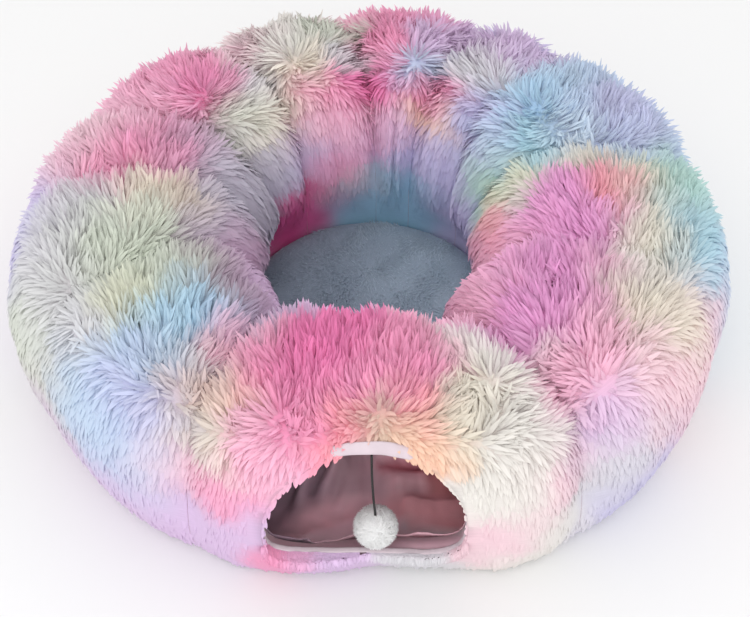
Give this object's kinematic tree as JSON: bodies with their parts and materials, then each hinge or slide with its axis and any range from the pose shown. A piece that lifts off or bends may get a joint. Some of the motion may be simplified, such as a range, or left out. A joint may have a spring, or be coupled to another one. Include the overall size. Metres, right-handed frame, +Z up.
{
  "type": "cat tunnel bed",
  "caption": "Round long-pile plush tunnel ring lying on the floor, with an arched entrance at the front, a flat round mat in the middle and a pompom hanging in the entrance.",
  "frame": {"origin": "centre of the footprint on the floor, under the middle of the bed", "axes": "+Z up, -Y towards the entrance, +X to the right of someone facing the entrance"},
  "size_m": [0.9011, 0.8622, 0.2733],
  "materials": {
    "plush": "long tie-dyed pile in pink, cream, sky blue, mint and lilac",
    "lining": "smooth thin mauve-pink lining, wrinkled",
    "binding": "folded pale pinkish-white binding",
    "mat_plush": "short slate blue-grey plush",
    "cord": "black covered elastic cord",
    "pompom": "soft white fluff"
  },
  "bodies": {
    "root": {"gore_right_front": "plush", "gore_right": "plush", "gore_right_back": "plush", "gore_back_right": "plush", "gore_back_middle": "plush", "gore_back_left": "plush", "gore_left_back": "plush", "gore_left_upper": "plush", "gore_left": "plush", "gore_left_front": "plush", "front_panel": "plush", "front_lining": "lining", "mouth_binding": "binding", "centre_mat": "mat_plush", "toy_cord": "cord", "toy_pompom": "pompom"}
  },
  "joints": []
}
